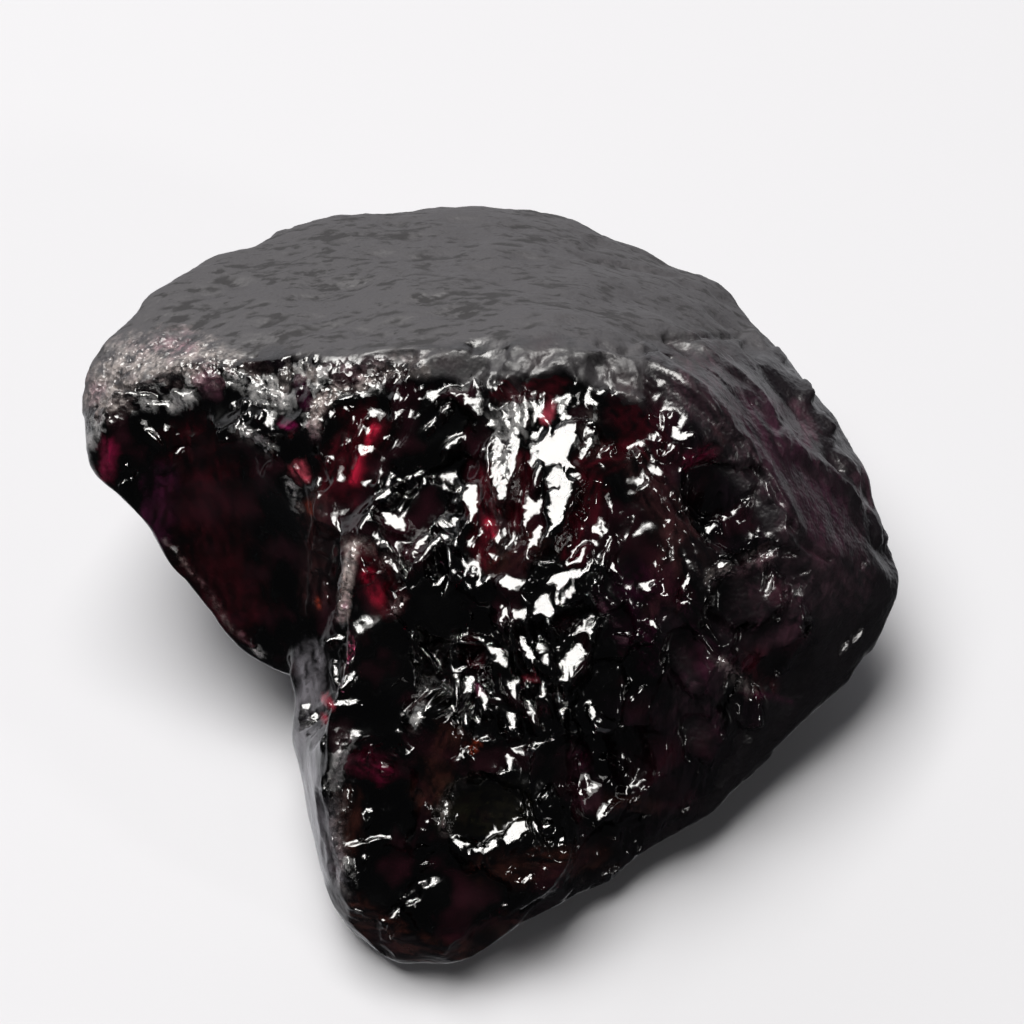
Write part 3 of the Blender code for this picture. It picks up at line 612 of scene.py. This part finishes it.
class Carver(Lump):
    """Moves the stone's points. Every feature is placed on the stone as it was before the first one."""

    def __init__(self, mesh):
        super().__init__(mesh)
        self.polished = np.zeros(len(self.points))
        self.still = np.zeros(len(self.points))
        self.pressed = np.zeros(len(self.points))

    def around(self, place, reach):
        """The points in a box round a place in the upright lump."""
        nearer = EYE[2] / (EYE[2] + place.y)
        across = EYE[0] + (place.x - EYE[0]) * nearer
        found = self.between(across - reach * 1.1, across + reach * 1.1)
        gap = np.abs(self.points[found] - np.array(place)).max(axis=1)
        return found[gap < reach]

    def local(self, found, place, axes, length, width):
        """Each point's distance from the place, 1 at the feature's rim, and its height over it."""
        offset = (self.points[found] - np.array(place)) @ axes.T
        distance = np.hypot(offset[:, 0] / length, offset[:, 1] / width) * 2
        return distance + RAGGED * self.wobble[found], offset[:, 2]

    def bite(self, place, normal, length, width, depth, direction, ripple=0.0):
        """Cuts away what lies inside a ball, stretched lengthways, that sinks to this depth."""
        radius = (width**2 / 4 + depth**2) / (2 * depth)
        axes = feature_axes(normal, direction)
        found = self.around(place, length * 0.8)
        distance, height = self.local(found, place, axes, length, width)
        far = np.maximum(distance, 0) * width / 2
        floor = radius - depth - np.sqrt(np.maximum(radius**2 - far**2, 0))
        floor += ripple * np.cos(far * 2 * math.pi / 0.4)
        deeper = (distance < 1.5) & (np.abs(height) < width) & (far < radius) & (floor < height)
        self.points[found[deeper]] += (floor - height)[deeper, None] * axes[2]

    def flatten(self, place, facing, length, width, direction, edge=0.3, sink=0.0, polish=0.0):
        """Presses a patch flat, facing a given way. Polish swaps its fine ripples for broad waves."""
        axes = feature_axes(facing, direction)
        found = self.around(place, max(length, width) * 0.8)
        distance, height = self.local(found, place, axes, length, width)
        hold = np.clip((1 + edge - distance) / edge, 0, 1) * (np.abs(height) < LAYER)
        self.points[found] -= ((height + sink) * hold)[:, None] * axes[2]
        self.polished[found] = np.maximum(self.polished[found] * (1 - hold), hold * polish)
        self.still[found] = np.maximum(self.still[found] * (1 - hold), hold * (polish == 0))
        self.pressed[found] = np.maximum(self.pressed[found], hold)

    def glint_way(self, point, spread, rng):
        """Which way a facet faces that mirrors the main softbox to the camera, give or take."""
        shine = ((self.eye - point).normalized() + self.lamp).normalized()
        lean = Vector([rng.gauss(0, spread) for _ in range(3)])
        return (shine + lean).normalized()

    def sparkle(self, place, size, rng):
        """One tiny facet that nearly mirrors the main softbox."""
        facing = self.glint_way(place, 0.07, rng)
        self.flatten(place, facing, size * rng.uniform(1, 2.2), size, rng.uniform(40, 90))

    def dark_window(self, place, length, width, direction):
        """A flat, sunk patch that mirrors the dim side of the room to the camera."""
        point, _ = self.seen(*place)
        if point:
            facing = ((self.eye - point).normalized() - WINDOW_LEAN * self.lamp).normalized()
            self.flatten(point, facing, length, width, direction, edge=0.25, sink=WINDOW_SINK)

    def bright_facets(self, line, width, rng):
        """A chain of small facets that mirror the main softbox to the camera."""
        for start, end in zip(line, line[1:]):
            way = np.subtract(end, start)
            reach = float(np.hypot(*way))
            steps = math.ceil(reach / max(1.5 * width, 2.4)) or 1
            direction = math.degrees(math.atan2(way[1], way[0]))
            for step in range(steps):
                point, _ = self.seen(*(np.array(start) + way * (step + 0.5) / steps))
                if point is None:
                    continue
                facing = self.glint_way(point, 0.03, rng)
                length = max(reach / steps + width, 0.24)
                polish = min(1, width / 0.8)
                self.flatten(point, facing, length, max(width, 0.2), direction, polish=polish)

    def fold(self, line, width, rise):
        """A rounded ridge along a line of places, or a groove."""
        found, distance = self.along(line, width)
        swell = (1 - np.clip(distance + 0.3 * self.wobble[found], 0, 1) ** 2) ** 2
        self.points[found] += self.normals[found] * (rise * swell * (1 + 0.5 * self.wobble[found]))[:, None]

    def finish(self):
        """Hands the carved points back to the mesh."""
        write_points(self.mesh, self.points)


def sculpting_copy(name, grid):
    """An upright copy of the solid in millimetres, as one even skin of small squares."""
    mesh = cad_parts[SOLID].data.copy()
    mesh.name = name
    mesh.materials.clear()
    bm = bmesh.new()
    bm.from_mesh(mesh)
    bmesh.ops.remove_doubles(bm, verts=bm.verts, dist=1e-7)
    bm.to_mesh(mesh)
    bm.free()
    write_points(mesh, stood_up(read_vectors(mesh, "co")))
    stone = new_object(name, mesh)
    skin = stone.modifiers.new("even grid", "REMESH")
    skin.mode = "VOXEL"
    skin.voxel_size = grid
    wear = stone.modifiers.new("soften the facets", "SMOOTH")
    wear.factor = 0.5
    wear.iterations = 14
    apply_modifiers(stone)
    return stone


def break_places(carver, rng):
    """Random places on the glassy break, one after another, each with its point and the normal there."""
    while True:
        across, up = rng.uniform(LEFT, RIGHT), rng.uniform(BOTTOM, TOP)
        point, normal = carver.seen(across, up)
        if point is None or break_share(np.array([point]))[0] < 0.6:
            continue
        if point.x < SCOOP_CORNER[0] and point.z < SCOOP_CORNER[1]:
            continue
        yield (across, up), point, normal


def carve_small_bites(carver, rng, count):
    """Scallops with sharp ridges between them, fanning down the glassy break."""
    for place, point, normal in islice(break_places(carver, rng), count):
        fan = math.degrees(math.atan2(place[1] - FAN_HEAD[1], place[0] - FAN_HEAD[0]))
        width = rng.uniform(0.4, 1.4)
        length = width * rng.uniform(1.2, 2.8)
        depth = width * rng.uniform(0.1, 0.2)
        carver.bite(point, normal, length, width, depth, fan + rng.gauss(0, 25), BITE_RIPPLES)


def carve_sparkles(carver, rng, count):
    """Clusters of tiny facets along the ridges."""
    clustered = (
        point
        for _, point, _ in break_places(carver, rng)
        if lattice_noise(np.array([point]) / 1.5, 90)[0] >= 0.1
    )
    for point in islice(clustered, count):
        carver.sparkle(point, rng.uniform(0.14, 0.26), rng)


def skin_pits(points):
    """1 in the small pits of the worn skin, which are longer than they are high."""
    drawn = points * np.array([0.45, 1, 1])
    crowd = 0.6 * lattice_noise(points / 2.4, 23)
    depth = lattice_noise(drawn / 0.46, 20) + 0.7 * lattice_noise(drawn / 0.22, 21) + crowd
    return np.clip((depth - 0.3) * 3, 0, 1)


def frost_share(lump, grain):
    """How bruised the stone is at each point."""
    return lump.brushed(BRUISES, 0.5 * grain) * np.clip(1 + grain, 0.3, 1)


def painted_shade_share(points, noise):
    """1 on the pale skin on top, less where shade is painted on the right side and foot."""
    across, _, up = points.T
    dim = np.interp(across, *zip(*PAINTED_SHADE_EDGE))
    return np.clip((up - dim + 1.2 * noise) / PAINTED_SHADE_FADE + 0.5, DEEPEST_PAINTED_SHADE, 1)


def relief(carver, normals):
    """How far each point stands out from the carved shape, in millimetres."""
    points = carver.points
    share = break_share(points)
    fine = fractal_noise(points, 0.5, seed=10) * RIPPLES * share
    fine *= 1 - 0.6 * carver.polished
    fine *= 1 - 0.85 * carver.still
    fine += fractal_noise(points, 1.1, octaves=2, seed=12) * WAVES * carver.polished
    bruised = frost_share(carver, fractal_noise(points, 0.3, octaves=2, seed=40))
    fine += GRANULES * fractal_noise(points, 0.45, seed=41) * bruised
    crushed = carver.brushed(CRINKLES, 0.6 * carver.wobble)
    fine += CRUMPLES * fractal_noise(points, 0.36, octaves=2, seed=80) * crushed * (1 - 0.6 * carver.pressed)
    sight = np.array(carver.eye) - points
    facing = np.einsum("ij,ij->i", normals, sight) / np.linalg.norm(sight, axis=1)
    hidden = np.clip(0.2 - 3 * facing, 0, 1)
    worn = fractal_noise(points, 1.0, seed=70) * WEAR
    worn -= skin_pits(points) * (PITS + HIDDEN_PITS * hidden)
    worn += fractal_noise(points, 4.0, octaves=4, seed=75) * SWELLS * hidden
    return fine + worn * (1 - share)


def carve_stone(settings):
    """Carves a fine copy of the solid, still upright and in millimetres."""
    stone = sculpting_copy("rough_painite_crystal", settings.grid / METRES)
    rng = random.Random(settings.seed)
    carver = Carver(stone.data)
    for rise, width, line in strokes(FOLDS):
        carver.fold(line, width, rise)
    carve_small_bites(carver, rng, settings.bites)
    carve_sparkles(carver, rng, settings.sparkles)
    for place, length, width, direction in DARK_WINDOWS:
        carver.dark_window(from_corner(*place), round(length * STEP, 2), round(width * STEP, 2), direction)
    for width, line in strokes(BRIGHT_FACETS):
        carver.bright_facets(line, width, rng)
    carver.finish()
    normals = read_vectors(stone.data, "normal")
    carver.points += normals * relief(carver, normals)[:, None]
    carver.finish()
    return stone


def thin_out(stone, triangles):
    """Leaves fewer, larger triangles, most of all on the sides that the camera doesn't see."""
    stone.data.calc_loop_triangles()
    have = len(stone.data.loop_triangles)
    points = read_vectors(stone.data, "co")
    to_eye = np.array(lump_point(*EYE)) - points
    plain = np.einsum("ij,ij->i", read_vectors(stone.data, "normal"), to_eye) < -0.1 * EYE[2]
    group = stone.vertex_groups.new(name="plain")
    # A lower weight keeps more points. A weight of 0 would keep them all, so the front has 0.5.
    group.add(np.flatnonzero(plain).tolist(), 1.0, "REPLACE")
    group.add(np.flatnonzero(~plain).tolist(), 0.5, "REPLACE")
    collapse = stone.modifiers.new("thin out", "DECIMATE")
    collapse.ratio = min(1, triangles / have)
    collapse.vertex_group = "plain"
    collapse.vertex_group_factor = 0.006
    apply_modifiers(stone)
    stone.vertex_groups.clear()


def write_attribute(mesh, name, values):
    """Stores one number or one colour for each point."""
    kind, slot = ("FLOAT", "value") if values.ndim == 1 else ("FLOAT_COLOR", "color")
    layer = mesh.attributes.new(name, kind, "POINT")
    layer.data.foreach_set(slot, values.astype(np.float32).ravel())


def paint_light_and_tints(lump, wine):
    """The painted colour at each point, and how much of it: mostly light that comes back from inside, with
    painted shade, sheen and reflection.
    """
    colour = wine[:, None] * np.array(linear(HUES["wine"])[:3])
    total = wine.copy()
    for strength, hue, width, line in strokes(TINTS):
        found, distance = lump.along(line, width, 1.7)
        fade = np.clip((1.7 - distance) / 1.1 + 0.5 * lump.wobble[found], 0, 1) ** 1.5
        amount = fade * strength * np.clip(0.55 + 1.3 * lump.streaks(found, line, 50), 0.05, 1.2)
        colour[found] += amount[:, None] * np.array(linear(HUES[hue])[:3])
        total[found] += amount
    colour = colour / np.maximum(total, 1e-4)[:, None]
    return np.clip(np.column_stack([colour, np.clip(total, 0, 1)]), 0, 1)


def paint(stone):
    """Writes where the skin is worn, where the rims are bruised, where shade is painted on the skin, and the
    light that comes back from inside, painted as colour.
    """
    lump = Lump(stone.data)
    points = lump.points
    edge_noise = fractal_noise(points, 1.3, seed=30)
    share = break_share(points, 0.45 * edge_noise)
    grain = fractal_noise(points, 0.3, seed=40)
    worn = np.maximum(1 - share, lump.brushed(WORN_PATCHES, edge_noise, spread=1.6, full=2.2, steep=2))
    frost = frost_share(lump, grain)
    wine = np.clip(fractal_noise(points, 2.0, seed=60) - 0.15, 0, 1) * share * 0.7
    write_attribute(stone.data, "skin", worn)
    write_attribute(stone.data, "frost", frost)
    write_attribute(stone.data, "pits", skin_pits(points) * worn)
    write_attribute(stone.data, "painted_shade", painted_shade_share(points, edge_noise))
    write_attribute(stone.data, "painted_light_and_tints", paint_light_and_tints(lump, wine))


def lay_down(stone):
    """Lays the stone on its base, in metres, within the solid's box."""
    mesh = stone.data
    turn = np.array(Matrix.Rotation(-LEAN, 3, "X"))
    points = (read_vectors(mesh, "co") @ turn.T - np.array(MIDDLE)) * METRES
    low, high = (np.array(corner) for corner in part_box(SOLID))
    points[points[:, 2] < ALMOST_DOWN * METRES, 2] = 0
    write_points(mesh, np.clip(points, low, high))


def add_node(tree, kind, values=None, links=None, **settings):
    """Adds a node with its settings, socket values and links. A node as a source gives its first output."""
    node = tree.nodes.new("ShaderNode" + kind)
    for name, value in settings.items():
        setattr(node, name, value)
    for socket, value in (values or {}).items():
        node.inputs[socket].default_value = value
    for socket, source in (links or {}).items():
        output = source.outputs[0] if isinstance(source, bpy.types.Node) else source
        tree.links.new(output, node.inputs[socket])
    return node


def blank_material(name):
    """A material without nodes, and its node tree."""
    material = bpy.data.materials.new(name)
    material.use_nodes = True
    material.node_tree.nodes.clear()
    return material, material.node_tree


def painite_material(finish):
    """Painite crystal, broken and worn by water.

    A fresh break is glassy: it has sharp glints, and is near black where it mirrors nothing, because the
    crystal soaks up all but deep red light. Water has worn the skin to a matt slate grey with open pits,
    and knocks have crushed the rims to pale, frosty grains. Shade is painted on the skin's right side and
    foot, and the red light that comes back from inside is painted in as colour.
    """
    material, tree = blank_material("painite, broken and waterworn")
    where = add_node(tree, "TexCoord").outputs["Object"]
    skin, frost, pits, painted_shade = (
        add_node(tree, "Attribute", attribute_name=name).outputs["Fac"]
        for name in ("skin", "frost", "pits", "painted_shade")
    )
    painted_light_and_tints = add_node(tree, "Attribute", attribute_name="painted_light_and_tints")

    drawn_out = add_node(tree, "Mapping", {"Scale": (0.5, 1, 1)}, {"Vector": where})
    # Four patterns: how wide, how many finer layers, how strong those are, and in which space.
    patterns = (
        (GRIT, 1.0, 0.6, where),
        (PATCHES, 2.0, 0.5, where),
        (CRUMBS, 4.0, 0.75, where),
        (DASHES, 3.0, 0.65, drawn_out),
    )
    grit, patches, crumbs, dashes = (
        add_node(
            tree, "TexNoise", {"Scale": 1 / (size * METRES), "Detail": detail, "Roughness": roughness},
            {"Vector": source},
        )
        for size, detail, roughness, source in patterns
    )
    grains = add_node(tree, "TexVoronoi", {"Scale": 1 / (GRAINS * METRES)}, {"Vector": where})

    # The rims: pale crumbs with clear crystal between them.
    crumb = add_node(
        tree, "MapRange", {"From Min": 0.4, "From Max": 0.58, "To Max": 0.95}, {"Value": crumbs}
    )
    bruise = add_node(tree, "Math", {}, {0: frost, 1: crumb}, operation="MULTIPLY")
    blush = add_node(tree, "MapRange", {"From Min": 0.45, "From Max": 0.65}, {"Value": patches})
    pale = add_node(
        tree, "Mix", {6: tuple(finish.frost_colour), 7: tuple(finish.blush_colour)},
        {0: blush}, data_type="RGBA",
    )

    # The skin: slate grey dust with dark, open dashes that crowd together in patches.
    crowd = add_node(tree, "Math", {1: 0.45}, {0: patches, 2: dashes}, operation="MULTIPLY_ADD")
    dust = add_node(tree, "MapRange", {"From Min": 0.54, "From Max": 0.66}, {"Value": crowd})
    dust_left = add_node(tree, "Math", {}, {0: dust, 1: pits}, operation="SUBTRACT", use_clamp=True)
    # Painted shade: the skin's colour darkens on the right side and the foot.
    dust_and_painted_shade = add_node(tree, "Math", {}, {0: dust_left, 1: painted_shade}, operation="MULTIPLY")
    dust_and_shade_colour = add_node(
        tree, "Mix", {6: (0.006, 0.004, 0.006, 1), 7: tuple(finish.skin_colour)},
        {0: dust_and_painted_shade}, data_type="RGBA",
    )

    # How rough: the break is nearly polished, the skin satin, and the dashes in it matt.
    worn_share = add_node(tree, "Math", {0: -0.6}, {1: frost, 2: skin}, operation="MULTIPLY_ADD")
    crushed = add_node(tree, "Math", {1: 0.35}, {0: frost}, operation="MULTIPLY")
    dull_share = add_node(tree, "Math", {}, {0: worn_share, 1: crushed}, operation="MAXIMUM", use_clamp=True)
    glassy = add_node(
        tree, "MapRange", {"From Min": 0.35, "From Max": 0.7, "To Min": 0.07, "To Max": 0.19},
        {"Value": patches},
    )
    satin = add_node(tree, "MapRange", {"To Min": 0.26, "To Max": 0.56}, {"Value": painted_shade})
    gritty_satin = add_node(tree, "Math", {1: 0.12}, {0: grit, 2: satin}, operation="MULTIPLY_ADD")
    matt = add_node(tree, "MapRange", {"To Min": 0.26, "To Max": 0.9}, {"Value": painted_shade})
    skin_rough = add_node(tree, "Mix", {}, {0: dust_left, 2: matt, 3: gritty_satin}, data_type="FLOAT")
    rough = add_node(tree, "Mix", {}, {0: dull_share, 2: glassy, 3: skin_rough}, data_type="FLOAT")

    # The colour: clear crystal is white here and gets its red from the depth. Painted inner light and shade,
    # dust and crumbs lie over it. Off the skin the faintest painted inner light counts in full.
    covered = add_node(tree, "Math", {1: 200.0}, {0: skin}, operation="MULTIPLY", use_clamp=True)
    base = add_node(tree, "Mix", {6: (1, 1, 1, 1)}, {0: covered, 7: dust_and_shade_colour.outputs[2]}, data_type="RGBA")
    gain = add_node(tree, "MapRange", {"To Min": 200.0, "To Max": 1.0}, {"Value": covered})
    tinted = add_node(
        tree, "Math", {}, {0: painted_light_and_tints.outputs["Alpha"], 1: gain}, operation="MULTIPLY", use_clamp=True
    )
    painted_light_mix = add_node(
        tree, "Mix", {}, {0: tinted, 6: base.outputs[2], 7: painted_light_and_tints.outputs["Color"]}, data_type="RGBA"
    )
    colour = add_node(tree, "Mix", {}, {0: bruise, 6: painted_light_mix.outputs[2], 7: pale.outputs[2]}, data_type="RGBA")

    # How clear: skin, crumbs and the painted inner light and shade hide what is behind them.
    specks = add_node(tree, "Math", {}, {0: bruise, 1: painted_light_and_tints.outputs["Alpha"]}, operation="MAXIMUM")
    skinned = add_node(tree, "Math", {0: 0.97}, {1: skin}, operation="MULTIPLY")
    opaque = add_node(tree, "Math", {}, {0: skinned, 1: specks}, operation="MAXIMUM")
    clear = add_node(tree, "Math", {0: 1.0}, {1: opaque}, operation="SUBTRACT", use_clamp=True)

    pebbled = add_node(
        tree, "Bump", {"Distance": GRAIN_HEIGHT * METRES}, {"Height": grains, "Strength": frost}
    )
    grit_strength = add_node(tree, "MapRange", {"To Min": 0.2, "To Max": 0.9}, {"Value": skin})
    bump = add_node(
        tree, "Bump", {"Distance": GRIT_HEIGHT * METRES},
        {"Height": grit, "Strength": grit_strength, "Normal": pebbled},
    )
    surface = add_node(
        tree, "BsdfPrincipled", {"IOR": PAINITE_IOR},
        {"Base Color": colour.outputs[2], "Roughness": rough, "Transmission Weight": clear, "Normal": bump},
    )
    inside = add_node(
        tree, "VolumeAbsorption", {"Color": (0.72, 0.05, 0.34, 1), "Density": ABSORPTION / METRES}
    )
    add_node(tree, "OutputMaterial", {}, {"Surface": surface, "Volume": inside})
    return material


def floor_material(colour):
    """Matt white paper, which is evenly pale and mirrors nothing."""
    material, tree = blank_material("paper, matt white")
    surface = add_node(
        tree, "BsdfPrincipled", {"Base Color": tuple(colour), "Roughness": 1.0, "Specular IOR Level": 0.0}
    )
    add_node(tree, "OutputMaterial", {}, {"Surface": surface})
    return material


def softbox(name, way, distance, size, power):
    """A square light that faces the stone."""
    light = bpy.data.lights.new(name, "AREA")
    light.shape = "RECTANGLE"
    light.size, light.size_y = size
    light.energy = power
    light.color = (1.0, 0.985, 0.955)
    lamp = new_object(name, light)
    way = Vector(way).normalized()
    lamp.location = way * distance + Vector((0, 0, 0.01))
    lamp.rotation_mode = "QUATERNION"
    lamp.rotation_quaternion = way.to_track_quat("Z", "Y")
    return lamp


def set_lights(settings):
    """The main softbox, its soft edge and a small lamp at the right."""
    softbox("main softbox", LAMP_WAY, LAMP_DISTANCE, (0.34, 0.3), settings.key_power)
    # The soft edge gives the glints grey borders. It lights nothing that is matt.
    edge = softbox(
        "soft edge of the main softbox", LAMP_WAY, LAMP_DISTANCE + 0.02, (0.5, 0.46), settings.key_power / 2
    )
    edge.visible_diffuse = False
    from_right = Matrix.Rotation(-LEAN, 3, "X") @ lump_point(0.75, -0.15, 0.6)
    softbox("side lamp", from_right, LAMP_DISTANCE, (0.05, 0.05), settings.side_power)


def lay_floor(settings):
    """A plain floor under the stone."""
    bm = bmesh.new()
    bmesh.ops.create_grid(bm, x_segments=2, y_segments=2, size=FLOOR_SIZE)
    mesh = bpy.data.meshes.new("floor")
    bm.to_mesh(mesh)
    bm.free()
    floor = new_object("floor", mesh)
    mesh.materials.append(floor_material(settings.floor_colour))
    floor.visible_glossy = False


def set_camera():
    """A camera that looks down along the lump's own out axis."""
    camera = bpy.data.cameras.new("camera")
    camera.sensor_width = 36
    camera.lens = camera.sensor_width * EYE[2] / FRAME_WIDTH
    camera.clip_start, camera.clip_end = 0.001, 10
    viewer = new_object("camera", camera)
    viewer.location = laid_down(lump_point(*EYE))
    viewer.rotation_mode = "QUATERNION"
    viewer.rotation_quaternion = Matrix.Rotation(math.radians(90) - LEAN, 3, "X").to_quaternion()
    return viewer


def room(brightness):
    """A room that is pale behind the stone, as the camera looks, and dim on the camera's side."""
    world = bpy.data.worlds.new("room")
    world.use_nodes = True
    world.cycles.sampling_method = "NONE"
    tree = world.node_tree
    tree.nodes.clear()
    way = add_node(tree, "TexCoord").outputs["Generated"]
    away = Matrix.Rotation(-LEAN, 3, "X") @ lump_point(-0.3, 0.6, -0.8)
    facing = add_node(tree, "VectorMath", {1: away.normalized()}, {0: way}, operation="DOT_PRODUCT")
    share = add_node(
        tree, "MapRange", {"From Min": 0.3, "From Max": 0.7}, {"Value": facing.outputs["Value"]},
        interpolation_type="SMOOTHSTEP",
    )
    colour = add_node(
        tree, "Mix", {6: (0.02, 0.02, 0.022, 1), 7: (brightness, brightness, brightness * 1.04, 1)},
        {0: share}, data_type="RGBA",
    )
    sky = add_node(tree, "Background", {}, {"Color": colour.outputs[2]})
    backdrop = add_node(tree, "Background", {"Color": (0.8, 0.8, 0.82, 1)})
    camera = add_node(tree, "LightPath").outputs["Is Camera Ray"]
    mixed = add_node(tree, "MixShader", {}, {0: camera, 1: sky, 2: backdrop})
    add_node(tree, "OutputWorld", {}, {"Surface": mixed})
    return world


class PAINITE_OT_stone(bpy.types.Operator):
    """Carve the crystal over its solid and give it its finish"""

    bl_idname = "painite.stone"
    bl_label = "Carve the crystal"

    def execute(self, context):
        settings = context.scene.painite_stone
        stone = carve_stone(settings)
        thin_out(stone, settings.triangles)
        paint(stone)
        lay_down(stone)
        stone.data.shade_smooth()
        stone.data.materials.append(painite_material(context.scene.painite_finish))
        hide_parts(SOLID)
        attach(stone, "root")
        return {"FINISHED"}


class PAINITE_OT_studio(bpy.types.Operator):
    """Lay the floor and set the softboxes and the camera"""

    bl_idname = "painite.studio"
    bl_label = "Set up the studio"

    def execute(self, context):
        settings = context.scene.painite_studio
        lay_floor(settings)
        set_lights(settings)
        context.scene.world = room(settings.room_light)
        context.scene.camera = set_camera()
        context.scene.view_settings.view_transform = "Standard"
        return {"FINISHED"}


class PAINITE_PT_panel(bpy.types.Panel):
    """The buttons for the stone and the studio"""

    bl_label = "Rough painite"
    bl_idname = "PAINITE_PT_panel"
    bl_space_type = "VIEW_3D"
    bl_region_type = "UI"
    bl_category = "Painite"

    def draw(self, context):
        for operator in (PAINITE_OT_stone, PAINITE_OT_studio):
            self.layout.operator(operator.bl_idname)


CLASSES = (PainiteStone, PainiteFinish, PainiteStudio, PAINITE_OT_stone, PAINITE_OT_studio, PAINITE_PT_panel)


def register():
    for cls in CLASSES:
        bpy.utils.register_class(cls)
    bpy.types.Scene.painite_stone = bpy.props.PointerProperty(type=PainiteStone)
    bpy.types.Scene.painite_finish = bpy.props.PointerProperty(type=PainiteFinish)
    bpy.types.Scene.painite_studio = bpy.props.PointerProperty(type=PainiteStudio)


def unregister():
    del bpy.types.Scene.painite_studio
    del bpy.types.Scene.painite_finish
    del bpy.types.Scene.painite_stone
    for cls in reversed(CLASSES):
        bpy.utils.unregister_class(cls)


def main():
    register()
    bpy.ops.painite.stone()
    bpy.ops.painite.studio()


if __name__ == "__main__":
    main()
